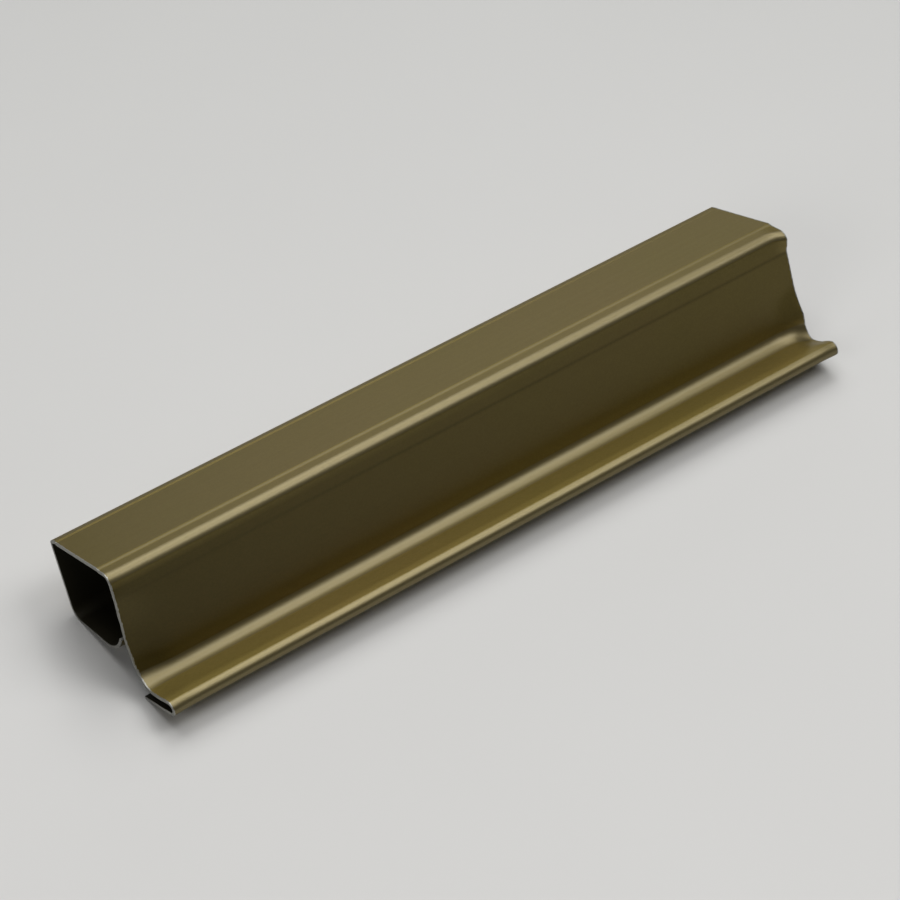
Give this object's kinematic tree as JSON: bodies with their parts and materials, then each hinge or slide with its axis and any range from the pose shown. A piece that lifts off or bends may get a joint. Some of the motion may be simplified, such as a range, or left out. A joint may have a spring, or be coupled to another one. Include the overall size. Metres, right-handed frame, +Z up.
{
  "type": "cold-formed steel trim profile",
  "caption": "Short length of painted, cold-formed steel trim: a box section with a curled inner lip, and a flange with an open hem.",
  "frame": {"origin": "bottom centre of the bounding box, on the floor the profile lies on", "axes": "+X along the profile, +Y towards its back wall, +Z up as it lies unheld"},
  "size_m": [0.15, 0.039, 0.0228],
  "materials": {
    "painted_steel": "satin"
  },
  "bodies": {
    "root": {"trim_profile": "painted_steel"}
  },
  "joints": []
}
